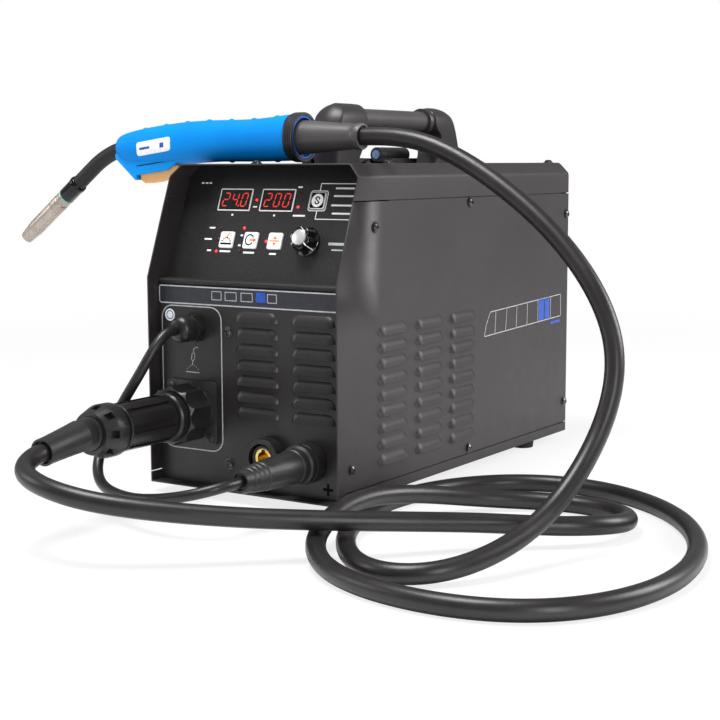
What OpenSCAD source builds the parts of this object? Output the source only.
// Portable MIG inverter welder with its torch laid across the front of the roof.
// The origin is on the ground under the middle of the case. X runs to the right as
// seen from the front, Y runs to the back and Z runs up.

/* [Case] */
// Width of the case
case_w = 222; // [200:1:244]
// Length of the case from the front edge of the side walls to the back
case_l = 480; // [432:1:528]
// Height of the roof over the ground
case_top = 321; // [316:0.5:353]
// Height of the feet
foot_h = 10; // [8:1:10]
// Thickness of the sheet metal
sheet = 1.5; // [1.2:0.1:1.6]
// Size of the bevels along the roof
chamfer = 12; // [10:1:14]
// Height at which the front edge starts to lean back
slope_z = 212.4; // [211:0.2:214]
// How far the front edge leans back by the roof
slope_run = 41; // [37:0.5:45]
// Depth of the front panels behind the edge of the side walls
recess = 14.5; // [13:0.5:15]
// Height of the seam between the roof and the side walls
seam_z = 287; // [285:1:290]
// Height of the upturned edges of the tray
tray_edge = 10; // [8:1:10]

/* [Door] */
// Front edge of the side door
door_front = -120; // [-122:1:-118]
// Back edge of the side door
door_back = 236; // [234:1:236]
// Distance of the hinge line from the middle of the case
hinge_x = 38; // [35:1:42]
// Height of the hinge line over the roof
hinge_rise = 9.5; // [9:0.5:10]
// Radius of the hinge knuckles
knuckle_r = 8; // [7:0.5:8.5]
// Radius of the hinge pins
hinge_pin_r = 3; // [2.5:0.5:3.5]

/* [Handle] */
// Radius of the carrying tube
tube_r = 11; // [10:0.5:12]
// Height of the tube's middle over the ground
tube_z = 366; // [360:1:402]

/* [Controls] */
// Side of a push button
button_w = 16.5; // [15:0.5:17]
// Travel of a push button
button_travel = 0.8; // [0.5:0.1:1]
// Radius of the adjusting knob's skirt
knob_r = 14; // [12:0.5:15]
// Height of the adjusting knob
knob_h = 16; // [14:0.5:18]
// Width of the two number displays
display_w = 39; // [37:0.5:40]
// Height of the two number displays
display_h = 22.5; // [21:0.5:24]

/* [Torch lead] */
// Radius of the torch cable
cable_r = 8.5; // [8:0.1:8.6]
// Radius of the polarity lead
lead_r = 5; // [4.5:0.1:5.5]

/* [Wire feeder] */
// Radius of the wire spool
spool_r = 100; // [95:1:100]
// Radius of the wire wound on the spool
wound_r = 85; // [70:1:88]
// Radius of the driven feed roll
drive_r = 15; // [14:0.5:16]
// Radius of the pressure roll
press_r = 13; // [12:0.5:14]

/* [Fan] */
// Radius of the fan's tunnel
fan_bore_r = 52; // [47:1:57]

/* [Hidden] */
$fn = 48;
// A little extra length that carries a cut through a face
cut = 1;
// Gap left between parts that slide past or sit beside each other
slide_gap = 0.3;
// Radial gap of a part that turns on a pin
run_gap = 0.05;

half_w = case_w / 2;
half_l = case_l / 2;
inner_w = half_w - sheet;
front_y = -half_l + recess;
rear_y = half_l - 2;
floor_z = foot_h + sheet;
side_bottom = foot_h + tray_edge + 1;
// The sloped panel leans back by this angle from upright
tilt = atan(slope_run / (case_top - slope_z));
// Foot of the sloped panel's face, and how far it stands behind the front edge
slope_setback = 30;
slope_y = -half_l + slope_setback;
slope_foot = slope_z - 1.4;
// The cords' routes are given for a case of this half length
route_half_l = 240;
front_shift = route_half_l - half_l;
// Length of the sloped panel up its own face
slope_len = (case_top - sheet - slope_foot) / cos(tilt) - 0.3;
panel_w = inner_w - 0.2;

hinge_z = case_top + hinge_rise;
door_edge = -hinge_x - 0.5;
hinge_len = 58;
hinge_starts = [-52, 62, 172];
knuckle_len = 10;

// Places on the sloped panel, as distance to the right and up its face
display_places = [[-46, 80.2], [4.5, 80.2]];
button_v = 39.3;
process_x = -46;
trigger_mode_x = -17.3;
wire_x = 11.6;
select_place = [51.3, 80.2];
knob_place = [48.8, 39.5];
lamp_places = [
  [-20.4, 80.4], [29.6, 73.8], [29.5, 86.8], [-56.7, 51], [-57, 39.7],
  [-56.4, 27.5], [-28.1, 51.6], [-28.1, 28.4], [0.9, 38.9]
];

// Gun socket in the front panel
gun_x = -67;
gun_z = 82;
// Bayonet sockets and the gland of the polarity lead
minus_x = 23.7;
plus_x = 70;
socket_z = 46;
gland_place = [gun_x + 2, gun_z + 82];
// Rear fittings
mains_gland_place = [60, 50];
gas_place = [-62, 60];
switch_place = [-62, 255];
fan_z = 200;

// The fan's frame stands beside the wall that parts the wire bay from the power parts
fan_rim = 4;
fan_w = 2 * (fan_bore_r + fan_rim);
fan_side_gap = 1.5;
divider_x = inner_w - fan_w - 7.5;
fan_x = divider_x + sheet + fan_side_gap + fan_w / 2;

// Wire feeder behind the side door
feed_y = -70;
drive_z = gun_z - drive_r - 0.5;
press_z = gun_z + press_r + 0.5;
arm_pivot_y = feed_y - 36;
arm_pivot_z = gun_z + 22;
spool_x = -58;
spool_y = 105;
spool_z = 127;

// Torch laid along X over the roof
torch_y = -half_l + 90;
torch_z = case_top + 25;
neck_start = [-216, torch_z - 8.8];
neck_bend_r = 110;
neck_lean = 12;
nozzle_lean = 36.8;
neck_r = 8;
neck_end = [
  neck_start[0] - neck_bend_r * (sin(nozzle_lean) - sin(neck_lean)),
  neck_start[1] - neck_bend_r * (cos(neck_lean) - cos(nozzle_lean))
];
trigger_pivot = [-140, torch_z - 28];

// Route of the torch cable from the gun plug's boot, over the ground, up to the torch
torch_points = [
  [-63.5, -432, 76], [-62.1, -450.6, 73.6], [-52, -471, 68], [-28, -485, 64],
  [6, -491, 59], [50, -477, 50], [128, -412, 37], [216, -330, 29.5],
  [274, -260, 22], [320, -232, 18.5], [359, -196, 17], [359, -140, 10],
  [318, -104, 8.6], [260, -104, 8.6], [202, -136, 10], [160, -206, 25],
  [150, -282, 31], [160, -354, 16], [208, -414, 8.6], [282, -448, 8.6],
  [366, -450, 8.6], [430, -410, 8.6], [463, -318, 8.6], [444, -196, 8.6],
  [374, -80, 8.6], [262, -18, 8.6], [170, -52, 8.6], [126, -148, 8.6],
  [138, -256, 8.6], [186, -350, 8.6], [248, -408, 8.6], [302, -390, 10],
  [328, -324, 20], [342, -258, 46], [358, -206, 104], [362, -186, 172],
  [312, -168, 242], [238, -156, 299], [150, -150, 346], [79, -150, 346]
];
torch_route = [for (p = torch_points) p + [0, front_shift, 0]];
// Route of the polarity lead from its gland to the bayonet plug
lead_points = [
  [-65, -252, 164], [-65, -268, 164], [-67.5, -284, 148], [-76, -293, 126],
  [-91, -298, 102], [-103, -304, 78], [-107, -316, 54], [-98, -332, 38],
  [-77, -348, 29], [-48, -361, 27], [-18, -371, 28], [11, -377, 32],
  [38, -376, 37], [58, -367, 42], [70, -352, 46], [70, -330, 46]
];
lead_route = [for (p = lead_points) p + [0, front_shift, 0]];
// Sections of the torch handle: place along X, height of the middle over the torch's own
// middle, half height, half width
handle_route = [
  [-220, -9, 8, 9], [-217.5, -8, 12, 13], [-209, -8.5, 15.5, 16],
  [-198, -8, 17.3, 17.4], [-178, -7, 19.6, 18.2], [-149, -5.5, 21.2, 18.4],
  [-120, -3.5, 21.4, 18.2], [-90, -2.2, 20.6, 17.8], [-60, -2.6, 20.6, 17.6],
  [-32, -2, 21, 18.6], [-12, -0.8, 22, 20.6], [3, 0, 22.4, 21.8]
];

// ---- helpers ----

// A uniform cubic spline through doubled ends, at a place from 0 to 1 along it
function spline_weights(t) = [
  pow(1 - t, 3), 3 * pow(t, 3) - 6 * t * t + 4, -3 * pow(t, 3) + 3 * t * t + 3 * t + 1, pow(t, 3)
] / 6;
function with_ends(p) = concat(
  [2 * p[0] - p[1]], p, [2 * p[len(p) - 1] - p[len(p) - 2]]
);
function spline_at(q, s) =
  let (k = min(floor(s * (len(q) - 3)), len(q) - 4), w = spline_weights(s * (len(q) - 3) - k))
  w[0] * q[k] + w[1] * q[k + 1] + w[2] * q[k + 2] + w[3] * q[k + 3];
function spline(p, steps) = let (q = with_ends(p)) [for (i = [0:steps]) spline_at(q, i / steps)];
function unit(v) = v / norm(v);
// Turns the height of its children to point along a unit vector
module aimed(from, way) translate(from) rotate([0, acos(way[2]), atan2(way[1], way[0])]) children();
function square_to(v, t) = unit(v - (v * t) * t);

// Directions along a route: the ends take the direction of its first and last leg
function directions(p, c) = [
  for (i = [0:len(c) - 1])
    i == 0 ? unit(p[1] - p[0])
    : i == len(c) - 1 ? unit(p[len(p) - 1] - p[len(p) - 2])
    : unit(c[i + 1] - c[i - 1])
];
// Side vectors carried along the route without twist
function side_vectors(t) = [
  for (i = 0, n = square_to([0, 0, 1], t[0]); i < len(t);
       i = i + 1, n = i < len(t) ? square_to(n, t[i]) : n) n
];
function ring_faces(rings, sides) = concat(
  [[for (j = [0:sides - 1]) j]],
  [
    for (i = [0:rings - 2], j = [0:sides - 1]) let (a = i * sides + j, b = i * sides + (j + 1) % sides)
      [a, a + sides, b]
  ],
  [
    for (i = [0:rings - 2], j = [0:sides - 1]) let (a = i * sides + j, b = i * sides + (j + 1) % sides)
      [b, a + sides, b + sides]
  ],
  [[for (j = [sides - 1:-1:0]) (rings - 1) * sides + j]]
);
// Round tube swept along a route
module swept_tube(route, r, sides, steps) {
  c = spline(route, steps);
  t = directions(route, c);
  n = side_vectors(t);
  points = [
    for (i = [0:steps], j = [0:sides - 1])
      let (a = 360 * j / sides) c[i] + r * (cos(a) * n[i] + sin(a) * cross(t[i], n[i]))
  ];
  polyhedron(points, ring_faces(steps + 1, sides), convexity = 10);
}

// Sheet outlines swept along Y (outline in X and Z) or along X (outline in Y and Z)
module along_y(len) rotate([90, 0, 0]) linear_extrude(len, center = true) children();
module along_x(len) rotate([90, 0, 90]) linear_extrude(len, center = true) children();
// Frames whose z axis points out of a face: front, sloped panel, right side, left side, back
module at_front(x, z) translate([x, front_y, z]) rotate([90, 0, 0]) children();
module at_slope(x, v) translate([x, slope_y, slope_foot]) rotate([90 - tilt, 0, 0])
  translate([0, v, 0]) children();
module at_right(y, z) translate([half_w, y, z]) rotate([90, 0, 90]) children();
module at_left(y, z) translate([-half_w, y, z]) rotate([90, 0, -90]) children();
module at_rear(x, z) translate([x, rear_y, z]) rotate([90, 0, 180]) children();
// Frame of the straight part of the torch neck, with z pointing to the nozzle's tip
module at_neck_end(s) translate([neck_end[0], torch_y, neck_end[1]])
  rotate([0, -90 - nozzle_lean, 0]) translate([0, 0, s]) children();
// Cylinder lying along X, starting at x
module x_rod(r, x, len, y, z) translate([x, y, z]) rotate([0, 90, 0]) cylinder(r = r, h = len);
module y_rod(r, x, y, z, len) translate([x, y + len, z]) rotate([90, 0, 0]) cylinder(r = r, h = len);
// Plate with rounded corners, centred, standing on z = 0
module round_plate(w, h, thick, r) {
  translate([-w / 2 + r, -h / 2, 0]) cube([w - 2 * r, h, thick]);
  translate([-w / 2, -h / 2 + r, 0]) cube([w, h - 2 * r, thick]);
  for (x = [-1, 1], y = [-1, 1])
    translate([x * (w / 2 - r), y * (h / 2 - r), 0]) cylinder(r = r, h = thick);
}

// Cross section of the folded case, without the front slope
module case_outline(inset) {
  w = half_w - inset;
  top = case_top - inset;
  c = chamfer - inset * (2 - sqrt(2));
  polygon([[-w, foot_h], [-w, top - c], [-w + c, top], [w - c, top], [w, top - c], [w, foot_h]]);
}
module case_skin() {
  intersection() {
    difference() {
      along_y(case_l) case_outline(0);
      along_y(case_l + 2 * cut) case_outline(sheet);
    }
    along_x(case_w + 2 * cut) polygon([
      [-half_l, 0], [-half_l, slope_z], [-half_l + slope_run, case_top], [half_l, case_top], [half_l, 0]
    ]);
  }
}
// Block that takes the door's share of the skin, grown by a gap
module door_block(gap) {
  translate([-half_w - cut, door_front - gap, 0])
    cube([half_w + cut + door_edge + gap, door_back - door_front + 2 * gap, case_top + cut]);
}

// Pressed louvre hood on a face, open along its lower edge
hood_deep = 4;
hood_high = 10;
hood_wall = 1.2;
module capsule(r, run) {
  rotate([0, 90, 0]) cylinder(r = r, h = run, center = true);
  for (x = [-1, 1]) translate([x * run / 2, 0, 0]) sphere(r = r);
}
module louver_hood(length) {
  r = (hood_high * hood_high + hood_deep * hood_deep) / (2 * hood_deep);
  run = length - 2 * hood_high;
  intersection() {
    translate([0, 0, hood_deep - r]) difference() {
      capsule(r, run);
      capsule(r - hood_wall, run);
    }
    translate([-length, 0, -0.5]) cube([2 * length, hood_high + cut, hood_deep + cut]);
  }
}
module louver_slot(length) {
  translate([-length / 2 + hood_high, -0.5, -sheet - cut])
    cube([length - 2 * hood_high, hood_high / 2, sheet + 2 * cut]);
}
// Columns of louvres: middle of each column, lowest and pitch, count
side_louver_columns = [-144.5, -76.3, -9.6];
side_louver_len = 52;
side_louver_low = 37.8;
side_louver_pitch = 15.4;
side_louver_rows = 9;
front_louver_columns = [half_w - 101, half_w - 36.4];
front_louver_len = 49.5;
front_louver_low = 82;
front_louver_pitch = 15.1;
front_louver_rows = 7;

// Pan-head screw with a washer, standing on z = 0
module pan_screw() {
  cylinder(r = 5.4, h = 0.8);
  difference() {
    intersection() {
      translate([0, 0, 0.8]) cylinder(r = 4.1, h = 2.4);
      translate([0, 0, -2.2]) sphere(r = 5.8);
    }
    for (a = [0, 90]) rotate(a) translate([-2.4, -0.45, 1.9]) cube([4.8, 0.9, 3]);
  }
}
// Screws as places along the face and over the ground (on the roof as X and Y)
screw_front_y = -half_l + 63;
screw_tray_y = -half_l + 23;
screw_back_y = half_l - 6;
screw_top_z = seam_z - 24.5;
right_screws = [
  [screw_front_y, screw_top_z], [4.5, seam_z - 5.8], [screw_back_y, screw_top_z],
  [screw_tray_y, 41.3], [4.8, side_bottom + 5.5], [screw_back_y, 45]
];
left_screws = [[screw_front_y, screw_top_z], [screw_tray_y, 41.3]];
roof_screws = [[-14, -half_l + 50], [6, -28], [half_w - 21, half_l - 11], [half_w - 21, -120]];
front_screws = [[half_w - 134, 162.7], [half_w - 134.8, 34.4]];
rear_screws = [for (x = [-1, 1], z = [24, case_top - 31]) [x * (half_w - 13), z]];

// ---- case ----

// Screw holes through the feet and the tray, by which the case is bolted to a shelf
foot_hole_r = 2.75;
module at_feet() {
  for (x = [-1, 1], y = [-1, 1]) translate([x * (half_w - 19), y * (half_l - 73), 0]) children();
}
module base_tray() {
  color("#2b2a2c") difference() {
    along_y(case_l) polygon([
      [-half_w, foot_h], [half_w, foot_h], [half_w, foot_h + tray_edge], [inner_w, foot_h + tray_edge],
      [inner_w, floor_z], [-inner_w, floor_z], [-inner_w, foot_h + tray_edge], [-half_w, foot_h + tray_edge]
    ]);
    for (y = [-60:20:60]) translate([20, y - 3, 0]) cube([60, 6, 20]);
    at_feet() cylinder(r = foot_hole_r, h = floor_z + cut);
  }
}
module top_cover() {
  color("#343235") difference() {
    intersection() {
      case_skin();
      translate([-half_w - cut, -half_l - cut, seam_z])
        cube([case_w + 2 * cut, case_l + 2 * cut, case_top - seam_z + cut]);
    }
    door_block(1);
  }
}
// Thickness and height of the laps, how deep they are welded into the wall, and how far
// the strip behind the front of the seam reaches below it
lap_t = 1.2;
lap_h = 26;
weld = 0.2;
seam_strip = 4;
// Flat side wall below the roof seam, with inner laps behind the roof and the tray edge
module side_wall(front, back, lap_front, lap_back) {
  intersection() {
    case_skin();
    translate([0, front, side_bottom]) cube([case_w, back - front, seam_z - 1 - side_bottom]);
  }
  lap_len = lap_back - lap_front;
  for (z = [floor_z + 1, seam_z - 14])
    translate([inner_w - lap_t, lap_front, z]) cube([lap_t, lap_len, lap_h]);
  // Welded strip of each lap, let into the wall
  translate([inner_w - lap_t, lap_front, side_bottom])
    cube([lap_t + weld, lap_len, floor_z + 1 + lap_h - side_bottom]);
  translate([inner_w - lap_t, lap_front, seam_z - 14]) cube([lap_t + weld, lap_len, 13]);
  // Short strip behind the seam where the wall stands in front of the sloped panel
  strip_front = -half_l + (seam_z + seam_strip - slope_z) * tan(tilt) + 0.5;
  strip_back = slope_y + (seam_z - seam_strip - slope_foot) * tan(tilt) - 1;
  translate([inner_w - lap_t, strip_front, seam_z - seam_strip])
    cube([lap_t, strip_back - strip_front, 2 * seam_strip - 1]);
  translate([inner_w - lap_t, strip_front, seam_z - seam_strip])
    cube([lap_t + weld, strip_back - strip_front, seam_strip - 1]);
}
module right_side_panel() {
  color("#343235") {
    difference() {
      side_wall(-half_l, half_l, -half_l + 90, rear_y - 16);
      for (y = side_louver_columns, i = [0:side_louver_rows - 1])
        at_right(y, side_louver_low + i * side_louver_pitch) louver_slot(side_louver_len);
    }
    for (y = side_louver_columns, i = [0:side_louver_rows - 1])
      at_right(y, side_louver_low + i * side_louver_pitch) louver_hood(side_louver_len);
  }
}
module left_side_panel() {
  // Strip that the closed door rests against
  stop_back = door_front + 12;
  stop_t = 1.4;
  stop_h = seam_z - side_bottom - 51;
  color("#343235") {
    mirror([1, 0, 0]) side_wall(-half_l, door_front - 2, -half_l + 90, door_front - 4);
    translate([-inner_w - weld, door_front - 16, side_bottom + 30]) cube([stop_t + weld, 14, stop_h]);
    translate([-inner_w + slide_gap, door_front - 4, side_bottom + 30])
      cube([stop_t - slide_gap, stop_back - door_front + 4, stop_h]);
  }
}
module front_panel() {
  top = slope_foot - 6.8;
  color("#2a282a") {
    difference() {
      translate([-panel_w, front_y, floor_z + 0.2]) cube([2 * panel_w, sheet, top - floor_z - 0.2]);
      at_front(gun_x, gun_z) translate([0, 0, -10]) cylinder(r = 21, h = 20);
      at_front(gland_place[0], gland_place[1]) translate([0, 0, -10]) cylinder(r = 8.2, h = 20);
      for (x = [minus_x, plus_x]) at_front(x, socket_z) translate([0, 0, -10]) cylinder(r = 15.2, h = 20);
      for (x = front_louver_columns, i = [0:front_louver_rows - 1])
        at_front(x, front_louver_low + i * front_louver_pitch) louver_slot(front_louver_len);
    }
    for (x = front_louver_columns, i = [0:front_louver_rows - 1])
      at_front(x, front_louver_low + i * front_louver_pitch) louver_hood(front_louver_len);
    // Foot fold screwed to the tray
    translate([-panel_w, front_y, floor_z]) cube([2 * panel_w, 14, sheet]);
  }
}
module control_panel() {
  corner = chamfer - 0.8;
  nose_r = 3;
  ledge_top = slope_foot - 0.5;
  fold_y = front_y + sheet + 0.1;
  color("#1d1c1e") {
    difference() {
      at_slope(0, 0) translate([0, 0, -sheet]) linear_extrude(sheet) polygon([
        [-panel_w, -1.5], [panel_w, -1.5], [panel_w, slope_len - corner], [panel_w - corner, slope_len],
        [-panel_w + corner, slope_len], [-panel_w, slope_len - corner]
      ]);
      for (p = display_places) at_slope(p[0], p[1])
        translate([-display_w / 2 + 2, -display_h / 2 + 2, -5]) cube([display_w - 4, display_h - 4, 10]);
      for (x = [process_x, trigger_mode_x, wire_x]) at_slope(x, button_v) button_hole();
      at_slope(select_place[0], select_place[1]) button_hole();
      at_slope(knob_place[0], knob_place[1]) translate([0, 0, -5]) cylinder(r = 4, h = 10);
      for (p = lamp_places) at_slope(p[0], p[1]) translate([0, 0, -5]) cylinder(r = 1.6, h = 10);
    }
    // Ledge under the sloped face, with a rounded nose and a fold behind the front panel
    along_x(2 * panel_w - 0.6) polygon(concat(
      [for (a = [90:15:240]) [front_y + nose_r + nose_r * cos(a), ledge_top - nose_r + nose_r * sin(a)]],
      [
        [fold_y, ledge_top - 6.4], [fold_y, slope_foot - 18], [fold_y + sheet, slope_foot - 18],
        [fold_y + sheet, ledge_top - sheet], [slope_y + 0.5, ledge_top - sheet], [slope_y + 0.5, ledge_top]
      ]
    ));
  }
}
module button_hole() {
  w = button_w + 2 * slide_gap;
  translate([-w / 2, -w / 2, -5]) cube([w, w, 10]);
}
// Concentric slots in front of the fan, kept apart by ribs at the diagonals
module fan_grille() {
  for (r = [12:8:fan_bore_r - 8]) difference() {
    cylinder(r = r + 5, h = 10, center = true);
    cylinder(r = r, h = 12, center = true);
    for (a = [45, 135]) rotate(a) cube([120, 5, 14], center = true);
  }
}
module rear_panel() {
  corner = chamfer - 0.8;
  top = case_top - sheet - 0.2;
  color("#2a282a") {
    difference() {
      translate([0, rear_y - sheet, 0]) rotate([90, 0, 180]) linear_extrude(sheet) polygon([
        [-panel_w, floor_z + 0.2], [panel_w, floor_z + 0.2], [panel_w, top - corner],
        [panel_w - corner, top], [-panel_w + corner, top], [-panel_w, top - corner]
      ]);
      at_rear(fan_x, fan_z) fan_grille();
      at_rear(mains_gland_place[0], mains_gland_place[1]) cylinder(r = 8.2, h = 10, center = true);
      at_rear(gas_place[0], gas_place[1]) cylinder(r = 5.2, h = 10, center = true);
      at_rear(switch_place[0], switch_place[1])
        cylinder(r = switch_shaft_r + run_gap, h = 10, center = true);
    }
    translate([-panel_w, rear_y - 14, floor_z]) cube([2 * panel_w, 14, sheet]);
  }
}
// Wall between the wire bay on the left and the power parts on the right
module divider_wall() {
  front = front_y + 5;
  back = rear_y - sheet - 0.2;
  top = case_top - sheet;
  // Room for the foot folds of the front and rear panels and for the control board
  fold = 14.3;
  above_fold = floor_z + sheet + slide_gap;
  lean_y = slope_y + 12.5;
  color("#b9bcc0") difference() {
    union() {
      translate([divider_x + sheet / 2, 0, 0]) along_x(sheet) polygon([
        [front_y + fold, floor_z], [front_y + fold, above_fold], [front, above_fold],
        [front, slope_foot - 22], [lean_y, slope_foot - 22], [lean_y, slope_foot],
        [lean_y + (top - slope_foot) * tan(tilt), top], [back, top], [back, above_fold],
        [rear_y - fold, above_fold], [rear_y - fold, floor_z]
      ]);
      // Foot fold screwed to the tray
      translate([divider_x, front_y + 35.5, floor_z]) cube([13, rear_y - front_y - 63.5, sheet]);
    }
    x_rod(31, divider_x - 5, 12, feed_y, drive_z);
    x_rod(9, divider_x - 5, 12, spool_y, spool_z);
    // Passage for the wires
    translate([divider_x - 5, rear_y - 68, case_top - 96]) cube([12, 30, 30]);
  }
}
module rubber_feet() {
  color("#161616") at_feet() difference() {
    cylinder(r1 = 12, r2 = 13, h = foot_h);
    translate([0, 0, -cut]) cylinder(r = foot_hole_r, h = foot_h + 2 * cut);
  }
}
module case_screws() {
  color("#4a4b4e") {
    for (p = right_screws) at_right(p[0], p[1]) pan_screw();
    for (p = left_screws) at_left(p[0], p[1]) pan_screw();
    for (p = roof_screws) translate([p[0], p[1], case_top]) pan_screw();
    for (p = front_screws) at_front(p[0], p[1]) pan_screw();
    for (p = rear_screws) at_rear(p[0], p[1]) pan_screw();
  }
}

// ---- carrying handle ----

front_post_face = -98;
front_post_back = -40;
rear_post_face = 98;
post_w = 17;
tube_gap = 0.1;
// Outline of a post as seen along the tube: straight sides under a round top
module post_arch() {
  translate([0, tube_z - 1.6]) circle(r = post_w);
  polygon([[-14, case_top], [14, case_top], [post_w, tube_z - 10], [post_w, tube_z], [-post_w, tube_z],
    [-post_w, tube_z - 10]]);
}
module front_post() {
  difference() {
    intersection() {
      translate([0, -70, 0]) along_y(80) post_arch();
      along_x(80) polygon([
        [front_post_face, case_top], [front_post_face + 1, tube_z - 18], [front_post_face + 6, tube_z],
        [front_post_face + 16, tube_z + 15.4], [-45, tube_z + 14.5], [front_post_back, tube_z + 8],
        [front_post_back, tube_z - 12], [-54, case_top + 2], [-54, case_top]
      ]);
      // Rounded front in plan
      translate([0, front_post_face + 32, 0]) cylinder(r = 32, h = 800, center = true);
    }
    y_rod(tube_r + tube_gap, 0, -60, tube_z, 30);
  }
}
module rear_post() {
  difference() {
    union() {
      intersection() {
        translate([0, 130, 0]) along_y(80) post_arch();
        along_x(80) polygon([
          [104, case_top], [112, case_top + 14], [108, tube_z - 12], [rear_post_face, tube_z - 8],
          [rear_post_face, tube_z + 12], [106, tube_z + 15.4], [126, tube_z + 14.6], [138, tube_z + 6],
          [156, case_top + 17], [158, case_top]
        ]);
        translate([0, 158 - 40, 0]) cylinder(r = 40, h = 800, center = true);
      }
      y_rod(14.5, 0, rear_post_face - 6, tube_z, 12);
    }
    y_rod(tube_r + tube_gap, 0, rear_post_face - 10, tube_z, 30);
  }
}
module handle_posts() {
  color("#2c2a2b") {
    front_post();
    rear_post();
  }
}
module handle_tube() {
  color("#242324") y_rod(tube_r, 0, -59, tube_z, 176);
}

// ---- side door ----

module spool_door() {
  color("#343235") difference() {
    intersection() {
      case_skin();
      door_block(0);
      translate([-case_w, -case_l, side_bottom]) cube([case_w * 2, case_l * 2, case_top]);
    }
    for (y = [latch_front_y, latch_back_y]) x_rod(latch_shaft_r + 0.3, -half_w - 5, 10, y, latch_z);
  }
}
// One hinge, starting at y: the door's leaf has the middle knuckle
leaf_h = 5.5;
module knuckle(y, len, r) {
  difference() {
    union() {
      y_rod(knuckle_r, -hinge_x, y, hinge_z, len);
      children();
    }
    y_rod(r, -hinge_x, y - cut, hinge_z, len + 2 * cut);
  }
}
module leaf_plate(side, y) {
  x0 = side > 0 ? -hinge_x + knuckle_r + 0.6 : -hinge_x - 20;
  difference() {
    translate([x0, y, case_top]) cube([20 - knuckle_r - 0.6, hinge_len, leaf_h]);
    for (k = [8, hinge_len - 8])
      translate([x0 + (side > 0 ? 7 : 5.4), y + k, case_top + leaf_h - 2.4])
        cylinder(r1 = 2, r2 = 4.4, h = 2.5);
  }
}
module leaf_arm(side, y, len) {
  // Joins a knuckle to its leaf plate
  x0 = side > 0 ? -hinge_x : -hinge_x - knuckle_r - 3;
  translate([x0, y, case_top + 1.8]) cube([knuckle_r + 3, len, leaf_h - 1.8]);
}
module hinge_fixed_leaves() {
  color("#232324") for (y = hinge_starts) {
    leaf_plate(1, y);
    for (k = [y, y + hinge_len - knuckle_len])
      knuckle(k, knuckle_len, hinge_pin_r + 0.02) leaf_arm(1, k, knuckle_len);
  }
}
module hinge_door_leaves() {
  len = hinge_len - 2 * knuckle_len - 0.6;
  color("#232324") for (y = hinge_starts) {
    leaf_plate(-1, y);
    knuckle(y + knuckle_len + 0.3, len, hinge_pin_r + run_gap)
      leaf_arm(-1, y + knuckle_len + 0.3, len);
  }
}
module hinge_pins() {
  color("#c9ccd0") for (y = hinge_starts) {
    y_rod(hinge_pin_r, -hinge_x, y - 0.6, hinge_z, hinge_len + 1.2);
    y_rod(hinge_pin_r + 1.8, -hinge_x, y - 1.2, hinge_z, 1.2);
    y_rod(hinge_pin_r + 1.8, -hinge_x, y + hinge_len, hinge_z, 1.2);
  }
}
latch_front_y = door_front + 28;
latch_back_y = door_back - 30;
latch_z = 50;
latch_shaft_r = 5;
module latch(y) {
  color("#1c1c1d") {
    x_rod(11, -half_w - 3.2, 3, y, latch_z);
    translate([-half_w - 10, y - 2.5, latch_z - 10]) cube([7, 5, 20]);
    x_rod(latch_shaft_r, -half_w - 3.2, 9, y, latch_z);
    translate([-half_w + 3.3, y - 5, latch_z - 22]) cube([1.8, 10, 28]);
  }
}
module front_latch() latch(latch_front_y);
module rear_latch() latch(latch_back_y);

// ---- controls on the sloped panel ----

frame_h = 0.8;
module display_windows() {
  color("#0d0f10") for (p = display_places) at_slope(p[0], p[1]) {
    translate([-display_w / 2, -display_h / 2, 0]) cube([display_w, display_h, frame_h]);
    translate([-display_w / 2 + 2.2, -display_h / 2 + 2.2, -4])
      cube([display_w - 4.4, display_h - 4.4, 4]);
  }
}
// Seven-segment digits: segments in the order top, top right, bottom right, bottom,
// bottom left, top left, middle
digit_w = 8;
digit_h = 14;
stroke = 1.5;
lean = 0.14;
module bar(a, b) {
  // Lit bar between two corners of a digit, leaning like the rest
  d = (b - a) / norm(b - a);
  s = [-d[1], d[0]] * stroke / 2;
  p = a + d * 0.5;
  q = b - d * 0.5;
  half_d = d * stroke / 2;
  ends = [p, p + half_d + s, q - half_d + s, q, q - half_d - s, p + half_d - s];
  linear_extrude(0.3) polygon([for (e = ends) [e[0] + e[1] * lean, e[1]]]);
}
module digit(lit) {
  w = digit_w - stroke;
  h = (digit_h - stroke) / 2;
  corners = [
    [[0, h], [w, h]], [[w, h], [w, 0]], [[w, 0], [w, -h]], [[0, -h], [w, -h]],
    [[0, 0], [0, -h]], [[0, h], [0, 0]], [[0, 0], [w, 0]]
  ];
  for (k = [0:6]) if (lit[k] == 1) translate([-w / 2, 0, 0]) bar(corners[k][0], corners[k][1]);
}
two = [1, 1, 0, 1, 1, 0, 1];
four = [0, 1, 1, 0, 0, 1, 1];
zero = [1, 1, 1, 1, 1, 1, 0];
digit_pitch = 11;
module number(place, digits) {
  at_slope(place[0], place[1]) translate([0, 0, frame_h])
    for (k = [0:2]) translate([(k - 1) * digit_pitch, 0, 0]) digit(digits[k]);
}
module display_digits() {
  color("#ff2a20") {
    number(display_places[0], [two, four, zero]);
    number(display_places[1], [two, zero, zero]);
    // Point after the second digit
    at_slope(display_places[0][0] + 5, display_places[0][1] - digit_h / 2 + 0.8)
      translate([0, 0, frame_h]) cylinder(r = 0.8, h = 0.3);
  }
}
module indicator_lamps() {
  color("#d0302a") for (p = lamp_places) at_slope(p[0], p[1]) {
    translate([0, 0, -sheet]) cylinder(r = 1.5, h = sheet + 0.2);
    intersection() {
      translate([0, 0, -0.7]) sphere(r = 1.8);
      translate([0, 0, 0.2]) cylinder(r = 1.5, h = 3);
    }
  }
}
button_rise = 1.4;
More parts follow.
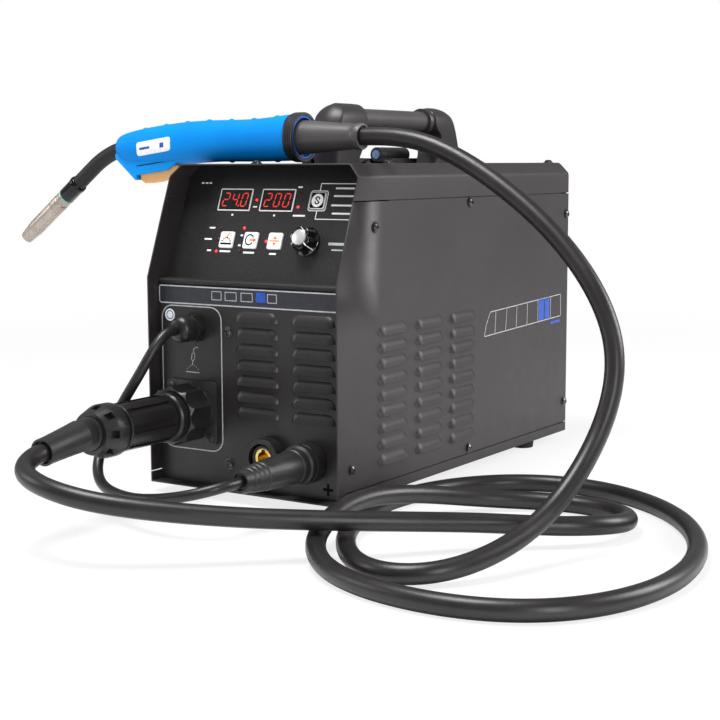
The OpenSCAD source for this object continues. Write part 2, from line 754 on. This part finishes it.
// Depth of a button's lip behind the face, and of its stem
lip_depth = sheet + slide_gap;
stem_depth = 6.5;
module push_button() {
  color("#f2f2f0") {
    translate([0, 0, -lip_depth]) round_plate(button_w, button_w, button_rise + lip_depth, 2);
    translate([0, 0, -lip_depth - 1.5]) round_plate(button_w + 2.4, button_w + 2.4, 1.5, 1);
    translate([0, 0, -stem_depth]) cylinder(r = 2.5, h = stem_depth - lip_depth - 1.3);
  }
}
module process_button() at_slope(process_x, button_v) push_button();
module trigger_mode_button() at_slope(trigger_mode_x, button_v) push_button();
module wire_button() at_slope(wire_x, button_v) push_button();
module select_button() at_slope(select_place[0], select_place[1]) push_button();
knob_shaft_r = 3;
module adjust_knob() {
  color("#121213") at_slope(knob_place[0], knob_place[1]) difference() {
    union() {
      translate([0, 0, 0.6]) cylinder(r = knob_r, h = 2);
      translate([0, 0, 2.6]) cylinder(r1 = knob_r - 0.4, r2 = knob_r - 2.6, h = knob_h - 4.2);
    }
    // Finger scallops round the grip
    for (a = [0:60:300]) rotate(a + 15) translate([knob_r + 1.6, 0, 3.4]) cylinder(r = 4.6, h = knob_h);
    translate([0, 0, -cut]) cylinder(r = knob_shaft_r + run_gap, h = 12);
  }
}
module knob_cap() {
  color("#d9dadb") at_slope(knob_place[0], knob_place[1]) {
    translate([0, 0, knob_h - 1.6]) cylinder(r = 7.5, h = 1.2);
    translate([0, 0, knob_h - 0.4]) cylinder(r1 = 7.5, r2 = 6.8, h = 0.4);
  }
}
board_depth = 9;
// Gap left under a button's stem when it is pressed
press_gap = 0.5;
module control_board() {
  switch_h = board_depth - stem_depth - button_travel - press_gap;
  color("#2f6b3c") at_slope(0, 0) {
    translate([-75, 12, -board_depth - 1.6]) cube([150, 92, 1.6]);
    for (p = [[process_x, button_v], [trigger_mode_x, button_v], [wire_x, button_v], select_place])
      translate([p[0], p[1], -board_depth]) cylinder(r = 2, h = switch_h);
    for (p = display_places)
      translate([p[0] - 16, p[1] - 8, -board_depth]) cube([32, 16, board_depth - 4.2]);
    translate([knob_place[0], knob_place[1], -board_depth]) {
      translate([-6, -6, 0]) cube([12, 12, 6]);
      cylinder(r = knob_shaft_r, h = board_depth + 10);
    }
    // Stand-offs to the back of the panel
    for (x = [-72, 72], v = [16, 100]) translate([x, v, -board_depth])
      cylinder(r = 2.5, h = board_depth - sheet);
  }
}

// ---- front connectors ----

// Distances out of the front panel along the gun plug
flange_h = 4;
boss_h = 7;
nut_start = 7.8;
nut_end = 36.4;
grip_start = 49.5;
grip_end = 114.5;
clamp_start = 119.5;
clamp_end = 146.5;
plug_core_r = 19.9;
module gun_flange() {
  color("#1b1b1c") at_front(gun_x, gun_z) {
    difference() {
      union() {
        round_plate(61, 61, flange_h, 5);
        cylinder(r = 26.5, h = boss_h);
      }
      translate([0, 0, -cut]) cylinder(r = 20.4, h = boss_h + 2 * cut);
    }
    for (side = [-1, 1]) translate([24 * side, -24 * side, flange_h]) pan_screw();
  }
}
module gun_socket() {
  color("#2c2a22") at_front(gun_x, gun_z) difference() {
    union() {
      translate([0, 0, -20]) cylinder(r = 20.3, h = 27);
      translate([0, 0, -26]) cylinder(r = 24, h = 24);
      translate([0, 0, -60]) cylinder(r = 10, h = 35);
    }
    translate([0, 0, -60 - cut]) cylinder(r = 1.4, h = 70);
    translate([0, 0, -14]) cylinder(r = 5, h = 22);
    translate([0, 0, -2]) difference() {
      cylinder(r = 30, h = sheet + 0.7);
      cylinder(r = 20.3, h = 30, center = true);
    }
  }
}
// Grip nut with hollow flutes that meet in narrow crests, bevelled at its free end
nut_r = 29;
nut_flutes = 10;
flute_r = 24.5;
flute_deep = 3;
nut_bevel = 4;
module gun_plug_nut() {
  nut_h = nut_end - nut_start;
  color("#1e1d1e") at_front(gun_x, gun_z) translate([0, 0, nut_start]) difference() {
    union() {
      cylinder(r = nut_r, h = nut_h - nut_bevel);
      translate([0, 0, nut_h - nut_bevel])
        cylinder(r1 = nut_r, r2 = nut_r - 0.8 * nut_bevel, h = nut_bevel);
    }
    for (k = [0:nut_flutes - 1]) rotate(k * 360 / nut_flutes)
      translate([nut_r - flute_deep + flute_r, 0, -cut]) cylinder(r = flute_r, h = nut_h + 2 * cut);
    translate([0, 0, -cut]) cylinder(r = plug_core_r + run_gap, h = nut_h + 2 * cut);
  }
}
module gun_plug_body() {
  color("#1f1e1f") at_front(gun_x, gun_z) difference() {
    union() {
      translate([0, 0, -12]) cylinder(r = 4.9, h = 22);
      rotate_extrude() polygon([
        [0, boss_h + 0.4], [plug_core_r, boss_h + 0.4], [plug_core_r, nut_end + 0.3], [23, nut_end + 0.3],
        [24.3, nut_end + 1.5], [24.3, 44.5], [22.6, 46.5], [18.8, 47.5], [18.8, grip_start],
        [22.6, grip_start + 1], [22.6, grip_end - 1], [21.4, grip_end], [18.8, grip_end],
        [18.8, clamp_start], [24, clamp_start], [24.8, clamp_start + 0.8], [24.8, 132], [19.6, clamp_end],
        [0, clamp_end]
      ]);
    }
    // Lengthwise grooves of the grip
    for (a = [0:45:315]) rotate(a) translate([20.8, -3.6, grip_start + 3])
      cube([5, 7.2, grip_end - grip_start - 6]);
    // Windows of the clamp cone
    for (a = [0:45:315]) rotate(a) translate([19, -3.4, 133.5]) cube([8, 6.8, 8]);
    translate([0, 0, clamp_end - 5]) cylinder(r = 15.8, h = 6);
  }
}
// Boot of the plug: it sags in line with the start of the cable and ends in an open lip
boot_len = 47;
lip_len = 4;
module gun_plug_boot() {
  mouth = torch_route[0];
  way = unit(torch_route[1] - mouth);
  color("#1a191a") {
    at_front(gun_x, gun_z) translate([0, 0, clamp_end - 5]) cylinder(r = 15.5, h = 7);
    aimed(mouth - boot_len * way, way) cylinder(r1 = 14.6, r2 = 12.3, h = boot_len);
    aimed(mouth, way) difference() {
      cylinder(r = 12.3, h = lip_len);
      translate([0, 0, -cut]) cylinder(r = 10, h = lip_len + 2 * cut);
    }
  }
}
gland_len = 26.5;
module gland(bore) {
  difference() {
    union() {
      cylinder(r = 15, h = 8, $fn = 6);
      cylinder(r = 12, h = 12);
      rotate_extrude() polygon([
        [0, 11], [13, 11], [13, 19], [12.4, 22], [11, 24.5], [9, 26], [8, gland_len], [0, gland_len]
      ]);
      translate([0, 0, -12]) cylinder(r = 8, h = 13);
      translate([0, 0, -6]) cylinder(r = 13, h = 4.4, $fn = 6);
    }
    if (bore > 0) translate([0, 0, -14]) cylinder(r = bore, h = gland_len + 20);
  }
}
mains_bore_r = 5.5;
module cable_glands() {
  color("#1b1b1e") {
    at_front(gland_place[0], gland_place[1]) gland(0);
    at_rear(mains_gland_place[0], mains_gland_place[1]) gland(mains_bore_r);
  }
}
collar_h = 14;
sleeve_r = 12.4;
contact_r = 9.6;
contact_bore_r = 6.55;
module socket_collars() {
  color("#181819") for (x = [minus_x, plus_x]) at_front(x, socket_z) {
    difference() {
      union() {
        cylinder(r = 19.3, h = collar_h);
        translate([0, 0, -18]) cylinder(r = 15, h = 19);
        translate([0, 0, -8]) cylinder(r = 19, h = 6);
      }
      translate([0, 0, 1]) cylinder(r = 14.4, h = collar_h);
      translate([0, 0, -19]) cylinder(r = contact_r, h = 40);
    }
    difference() {
      cylinder(r = sleeve_r, h = collar_h - 3);
      translate([0, 0, -cut]) cylinder(r = contact_r, h = 40);
    }
  }
}
contact_len = 26;
module socket_contacts() {
  color("#d8a33a") for (x = [minus_x, plus_x]) at_front(x, socket_z) {
    difference() {
      translate([0, 0, -24]) cylinder(r = contact_r, h = 24 + collar_h - 4);
      translate([0, 0, collar_h - 4 - contact_len]) cylinder(r = contact_bore_r, h = contact_len + cut);
      // Bayonet key slot
      translate([-2, 0, collar_h - 14]) cube([4, 8.6, 12]);
    }
    translate([0, 0, -38]) cylinder(r = 5, h = 15);
  }
}
module lead_plug() {
  start = collar_h + 0.2;
  // The lead ends here, inside the open mouth of the plug
  lead_seat = 104.5;
  color("#202020") at_front(plus_x, socket_z) {
    difference() {
      rotate_extrude() polygon([
        [0, start], [18.2, start], [18.8, start + 1], [18.8, 21], [17, 22.5], [16.6, 30], [15.8, 31],
        [13.4, 78], [12.2, 79], [12.2, 81], [12.9, 82], [12.6, 84], [11.6, 85], [11.6, 87], [12.3, 88],
        [12, 90], [11, 91], [11, 93], [11.7, 94], [11.4, 96], [10.4, 97], [10.4, 99], [11, 100],
        [9.4, lead_seat + 2.5], [7.6, lead_seat + 2.5], [7.6, lead_seat], [0, lead_seat]
      ]);
      // Finger flats along the grip
      for (a = [0:45:315]) rotate(a) translate([15.6, -2.4, 34]) rotate([0, -3, 0]) cube([4, 4.8, 38]);
    }
    translate([0, 0, -8]) cylinder(r = contact_bore_r - 0.05, h = start + 9);
  }
}

// ---- cords ----

module torch_cable() {
  color("#2b2b2c") swept_tube(torch_route, cable_r, 10, 80);
}
module polarity_lead() {
  color("#222223") swept_tube(lead_route, lead_r, 10, 16);
}

// ---- torch ----

// Lofted grip: each section is an oval flattened a little at its sides
handle_sides = 28;
handle_steps = 34;
module handle_body() {
  c = spline(handle_route, handle_steps);
  points = [
    for (i = [0:handle_steps], j = [0:handle_sides - 1])
      let (a = 360 * j / handle_sides, k = pow(pow(abs(cos(a)), 2.4) + pow(abs(sin(a)), 2.4), -1 / 2.4))
      [c[i][0], torch_y + c[i][3] * k * cos(a), torch_z + c[i][1] + c[i][2] * k * sin(a)]
  ];
  polyhedron(points, ring_faces(handle_steps + 1, handle_sides), convexity = 4);
}
// Flat-sided housing under the grip that holds the trigger
housing_w = 12;
trigger_w = 8;
module trigger_housing() {
  translate([0, torch_y, torch_z]) rotate([90, 0, 0]) linear_extrude(2 * housing_w, center = true) polygon([
    [-219, -15], [-218.5, -19.5], [-192, -41.8], [-189.5, -40.6], [-189.2, -36.6], [-149, -31.4],
    [-137, -24.2], [-120, -22.4], [-112, -20], [-150, -12], [-198, -10]
  ]);
}
// Space for the trigger inside the housing, with room for its swing
module trigger_space() {
  w = trigger_w + slide_gap;
  translate([0, torch_y, torch_z]) rotate([90, 0, 0]) linear_extrude(2 * w, center = true) polygon([
    [-189, -43], [-189, -28.4], [-150, -24.4], [-136, -23.6], [-134, -28], [-134, -34]
  ]);
}
nub_z = torch_z + 18;
low_nub_z = -21.2;
neck_seat = 8;
trigger_pin_r = 1.5;
module at_trigger_pivot() translate([trigger_pivot[0], torch_y, trigger_pivot[1]]) rotate([90, 0, 0])
  children();
module torch_handle() {
  color("#0b82e0") {
    difference() {
      union() {
        handle_body();
        trigger_housing();
        // Small grip nubs along the top
        for (k = [0:6]) translate([-186 + 28 * k, torch_y, nub_z - 0.42 * pow(abs(k - 4.4), 2)])
          sphere(r = 3.2, $fn = 24);
        // Nubs along the bottom
        for (x = [-102, -74, -46, -18]) translate([x, torch_y, torch_z + low_nub_z])
          sphere(r = 3.2, $fn = 24);
      }
      trigger_space();
      at_neck_start() translate([0, 0, -neck_seat]) cylinder(r = neck_r + 0.6, h = 40);
      x_rod(14, -14, 20, torch_y, torch_z);
    }
    // Pin that the trigger swings on
    at_trigger_pivot() cylinder(r = trigger_pin_r, h = 2 * housing_w, center = true);
  }
}
module at_neck_start() translate([neck_start[0], torch_y, neck_start[1]])
  rotate([0, -90 - neck_lean, 0]) children();
module torch_end_ring() {
  color("#1c1c1d") translate([3.5, torch_y, torch_z]) rotate([0, 90, 0]) difference() {
    union() {
      cylinder(r1 = 23.2, r2 = 24, h = 3);
      translate([0, 0, 3]) cylinder(r = 24, h = 8.5);
    }
    // Fine grooves round the rim
    for (k = [0:3]) translate([0, 0, 3.4 + 1.9 * k]) difference() {
      cylinder(r = 26, h = 0.7);
      translate([0, 0, -cut]) cylinder(r = 23.2, h = 3);
    }
    translate([0, 0, 5]) cylinder(r = 20.5, h = 10);
    translate([0, 0, -cut]) cylinder(r = 13, h = 30);
  }
}
torch_boot_end = 79;
module torch_boot() {
  color("#2a2a2b") translate([0, torch_y, torch_z]) rotate([0, 90, 0]) {
    translate([0, 0, -12]) cylinder(r = 12.8, h = 22);
    translate([0, 0, 8.7]) cylinder(r = 16.6, h = 2);
    translate([0, 0, 10.6]) cylinder(r1 = 16.6, r2 = 11.8, h = torch_boot_end - 18);
    translate([0, 0, torch_boot_end - 8.5]) cylinder(r = 12.3, h = 8.5);
    // Open lip that stands clear of the cable
    translate([0, 0, torch_boot_end]) difference() {
      cylinder(r = 12.3, h = 2.5);
      translate([0, 0, -cut]) cylinder(r = 10, h = 5);
    }
  }
}
module torch_trigger() {
  color("#ffb45a") difference() {
    translate([0, torch_y, torch_z]) rotate([90, 0, 0])
      linear_extrude(2 * trigger_w, center = true) polygon([
      [-188.4, -37], [-187.2, -42.5], [-182, -45.4], [-168, -43.4], [-150, -38.5], [-138, -32.5],
      [-136.6, -28.5], [-138.5, -25.4], [-150, -27.6], [-188.4, -31.8]
    ]);
    at_trigger_pivot() cylinder(r = trigger_pin_r + run_gap, h = 40, center = true);
  }
}
module swan_neck() {
  cover_r = neck_r + 0.05;
  color("#3a393b") {
    at_neck_start() translate([0, 0, -neck_seat]) cylinder(r = cover_r, h = neck_seat + slide_gap);
    translate([neck_start[0], torch_y, neck_start[1]]) rotate([0, -neck_lean, 0])
      translate([0, 0, -neck_bend_r]) rotate([90, 0, 0]) rotate([0, 0, 90])
        rotate_extrude(angle = nozzle_lean - neck_lean, $fn = 96)
          translate([neck_bend_r, 0]) circle(r = neck_r);
    at_neck_end(-slide_gap) cylinder(r = cover_r, h = 28 + slide_gap);
  }
}
module neck_insulator() {
  color("#0e0e0f") at_neck_end(28) {
    cylinder(r1 = 8.9, r2 = 9.6, h = 1.5);
    translate([0, 0, 1.5]) cylinder(r = 9.6, h = 3);
    translate([0, 0, 4.5]) cylinder(r1 = 9.6, r2 = 9, h = 2);
    translate([0, 0, 6.5]) cylinder(r = 9, h = 18.5);
    translate([0, 0, 25]) cylinder(r = 6.4, h = 12);
  }
}
module gas_nozzle() {
  color("#b5a99c") at_neck_end(53) difference() {
    rotate_extrude() polygon([
      [0, 0], [8.7, 0], [8.7, 6.5], [8.1, 7.2], [8.1, 8.6], [8.9, 9.2], [8.9, 17], [8.1, 17.8], [8.1, 19],
      [8.7, 19.8], [8.5, 58], [6.6, 75.5], [0, 75.5]
    ]);
    translate([0, 0, -cut]) cylinder(r = 6.5, h = 60);
    translate([0, 0, 50]) cylinder(r = 5.6, h = 40);
  }
}
module contact_tip() {
  color("#b8693a") at_neck_end(65) difference() {
    union() {
      cylinder(r = 4.4, h = 26);
      translate([0, 0, 26]) cylinder(r1 = 4.4, r2 = 3, h = 3);
      translate([0, 0, 29]) cylinder(r = 3, h = 26);
    }
    translate([0, 0, 30]) cylinder(r = 0.6, h = 30);
  }
}

// ---- wire feeder ----

plate_x = -54;
plate_t = 6;
drive_x = gun_x - 5;
roll_w = 10;
shaft_r = 4;
arm_pin_r = 3;
module feed_motor() {
  color("#8d9094") {
    x_rod(30, plate_x + plate_t, 84, feed_y, drive_z);
    x_rod(27, plate_x + plate_t + 84, 4, feed_y, drive_z);
    x_rod(shaft_r, drive_x - 3, plate_x + plate_t - drive_x + 4, feed_y, drive_z);
  }
}
module feed_plate() {
  pin_start = drive_x - 8;
  color("#2d2e30") difference() {
    union() {
      translate([plate_x, feed_y - 52, 28]) cube([plate_t, 104, gun_z + 12]);
      // Pivot pin of the pressure arm
      x_rod(arm_pin_r, pin_start, plate_x - pin_start + 1, arm_pivot_y, arm_pivot_z);
      // Wire guides before and after the rolls
      translate([gun_x - 5, feed_y + 24, gun_z - 5]) cube([plate_x - gun_x + 6, 22, 10]);
      // Feet of the plate on the divider
      for (y = [feed_y - 48, feed_y + 40]) x_rod(5, plate_x, divider_x - plate_x, y, gun_z + 30);
    }
    x_rod(shaft_r + 1, plate_x - cut, plate_t + 2 * cut, feed_y, drive_z);
    y_rod(1.6, gun_x, feed_y + 20, gun_z, 40);
  }
}
module drive_roll() {
  color("#c4c6c8") difference() {
    union() {
      x_rod(drive_r, drive_x, roll_w, feed_y, drive_z);
      x_rod(8, drive_x - 2, 2, feed_y, drive_z);
    }
    x_rod(shaft_r + run_gap, drive_x - 3, roll_w + 4, feed_y, drive_z);
  }
}
cheek_t = 2.6;
cheek_xs = [drive_x - cheek_t - 0.4, drive_x + roll_w + 0.4];
module pressure_arm() {
  color("#37393b") difference() {
    union() {
      for (x = cheek_xs) translate([x + cheek_t / 2, 0, 0]) along_x(cheek_t) polygon([
        [arm_pivot_y - 6, arm_pivot_z - 5], [arm_pivot_y + 4, arm_pivot_z - 7], [feed_y - 4, press_z - 6],
        [feed_y + 6, press_z - 6], [feed_y + 34, arm_pivot_z], [feed_y + 40, arm_pivot_z + 4],
        [feed_y + 40, arm_pivot_z + 12],
        [arm_pivot_y + 4, arm_pivot_z + 12], [arm_pivot_y - 6, arm_pivot_z + 6]
      ]);
      translate([cheek_xs[0], feed_y - 20, arm_pivot_z + 9])
        cube([cheek_xs[1] + cheek_t - cheek_xs[0], 60, 4]);
      // Tension knob standing on the free end
      translate([gun_x, feed_y + 32, arm_pivot_z + 12]) {
        cylinder(r = 3, h = 26);
        translate([0, 0, 12]) cylinder(r = 8, h = 18);
      }
      x_rod(arm_pin_r, cheek_xs[0], cheek_xs[1] + cheek_t - cheek_xs[0], feed_y, press_z);
    }
    x_rod(arm_pin_r + run_gap, drive_x - 10, 40, arm_pivot_y, arm_pivot_z);
  }
}
module pressure_roll() {
  color("#c4c6c8") difference() {
    x_rod(press_r, drive_x, roll_w, feed_y, press_z);
    x_rod(arm_pin_r + run_gap, drive_x - cut, roll_w + 2 * cut, feed_y, press_z);
  }
}
hub_r = 25;
spool_w = 52;
module spool_hub() {
  right = spool_x + spool_w / 2;
  left = spool_x - spool_w / 2;
  color("#3b3d40") {
    x_rod(34, right + 3, divider_x - right - 3, spool_y, spool_z);
    x_rod(hub_r, left - 2, right + 3.5 - left + 2, spool_y, spool_z);
    x_rod(29, left - 6, 4, spool_y, spool_z);
    x_rod(12, left - 12, 7, spool_y, spool_z);
  }
}
module wire_spool() {
  color("#d8d9db") difference() {
    union() {
      for (x = [-spool_w / 2, spool_w / 2 - 2.5]) x_rod(spool_r, spool_x + x, 2.5, spool_y, spool_z);
      x_rod(hub_r + 5, spool_x - spool_w / 2, spool_w, spool_y, spool_z);
    }
    x_rod(hub_r + 0.08, spool_x - spool_w / 2 - cut, spool_w + 2 * cut, spool_y, spool_z);
    // Openings in the flanges
    for (a = [0:60:300]) translate([0, spool_y, spool_z]) rotate([a, 0, 0])
      x_rod(14, spool_x - spool_w / 2 - cut, 2.5 + 1.2, 0, 62);
  }
}
module spool_wire() {
  color("#b87040") difference() {
    x_rod(wound_r, spool_x - spool_w / 2 + 2.7, spool_w - 5.4, spool_y, spool_z);
    x_rod(hub_r + 5.1, spool_x - spool_w / 2, spool_w, spool_y, spool_z);
  }
}

// ---- power parts and rear fittings ----

// Heat sink, coils and capacitors between the divider and the right side wall
module_z = 30;
fin_count = 10;
fin_t = 3.4;
module power_module() {
  left = divider_x + 18;
  width = inner_w - 9.5 - left;
  back = rear_y - 48;
  front = back - 204;
  middle = left + width / 2;
  top = module_z + 49;
  pitch = (width - 3.8) / (fin_count - 1);
  color("#a6a9ad") {
    translate([left, front, module_z]) cube([width, back - front, 8]);
    for (i = [0:fin_count - 1]) translate([left + i * pitch, front, module_z + 6])
      cube([fin_t, back - front, 38]);
    // Coils and capacitors over the fins
    translate([left + 6, front + 34, top - 5]) cube([width - 12, 150, 6]);
    translate([middle, front + 74, top]) cylinder(r = 32, h = 30);
    translate([middle, front + 144, top]) cylinder(r = 24, h = 44);
    for (x = [middle - 30, middle + 30], y = [front + 46, front + 172])
      translate([x, y, top]) cylinder(r = 9, h = 36);
    // Feet on the tray
    for (x = [left + 4, left + width - 12], y = [front + 4, back - 12])
      translate([x, y, floor_z]) cube([8, 8, module_z - floor_z + 1.5]);
  }
}
fan_back = rear_y - sheet - 0.2;
fan_t = 26;
module fan_frame() {
  color("#1d1d1e") translate([fan_x, fan_back, fan_z]) rotate([90, 0, 0]) {
    difference() {
      translate([-fan_w / 2, -fan_w / 2, 0]) cube([fan_w, fan_w, fan_t]);
      translate([0, 0, -cut]) cylinder(r = fan_bore_r, h = fan_t + 2 * cut);
      for (x = [-1, 1], y = [-1, 1]) translate([x * (fan_w / 2 - 6), y * (fan_w / 2 - 6), -cut])
        cylinder(r = 2.2, h = fan_t + 2 * cut);
    }
    // Motor carrier on four arms, with the rotor's pin
    translate([0, 0, fan_t - 3]) cylinder(r = 18, h = 3);
    for (a = [0, 90]) rotate(a + 45) translate([-fan_bore_r - 1, -2, fan_t - 3])
      cube([2 * fan_bore_r + 2, 4, 3]);
    translate([0, 0, 5]) cylinder(r = 2, h = fan_t - 7);
  }
}
module fan_rotor() {
  color("#2a2a2b") translate([fan_x, fan_back, fan_z]) rotate([90, 0, 0]) difference() {
    union() {
      translate([0, 0, 3]) cylinder(r = 19, h = 18.5);
      intersection() {
        for (a = [0:51.43:350]) rotate(a) translate([0, -1.1, 12]) rotate([38, 0, 0])
          translate([14, -12, -1]) cube([45, 24, 2]);
        translate([0, 0, 4]) cylinder(r = fan_bore_r - 2, h = 17);
      }
    }
    translate([0, 0, 4.4]) cylinder(r = 2 + run_gap, h = 30);
  }
}
switch_shaft_r = 4;
module power_switch() {
  color("#171718") at_rear(switch_place[0], switch_place[1]) {
    translate([0, 0, slide_gap]) cylinder(r = 17, h = 9);
    translate([-4, -16, 9]) cube([8, 32, 10]);
    translate([0, 0, -10]) cylinder(r = switch_shaft_r, h = 12);
  }
}
gas_pin_r = 5;
module gas_inlet() {
  color("#c8a050") at_rear(gas_place[0], gas_place[1]) {
    cylinder(r = 9, h = 7, $fn = 6);
    translate([0, 0, -12]) cylinder(r = 5, h = 13);
    translate([0, 0, -6]) cylinder(r = 8.5, h = 4.4, $fn = 6);
    translate([0, 0, 6]) cylinder(r = gas_pin_r, h = 16);
  }
}

// ---- nodes ----

base_tray();
top_cover();
right_side_panel();
left_side_panel();
front_panel();
control_panel();
rear_panel();
divider_wall();
rubber_feet();
case_screws();
handle_posts();
handle_tube();
spool_door();
hinge_fixed_leaves();
hinge_door_leaves();
hinge_pins();
front_latch();
rear_latch();
display_windows();
display_digits();
indicator_lamps();
process_button();
trigger_mode_button();
wire_button();
select_button();
adjust_knob();
knob_cap();
control_board();
gun_flange();
gun_socket();
gun_plug_nut();
gun_plug_body();
gun_plug_boot();
cable_glands();
socket_collars();
socket_contacts();
lead_plug();
torch_cable();
polarity_lead();
torch_handle();
torch_end_ring();
torch_boot();
torch_trigger();
swan_neck();
neck_insulator();
gas_nozzle();
contact_tip();
feed_motor();
feed_plate();
drive_roll();
pressure_arm();
pressure_roll();
spool_hub();
wire_spool();
spool_wire();
power_module();
fan_frame();
fan_rotor();
power_switch();
gas_inlet();
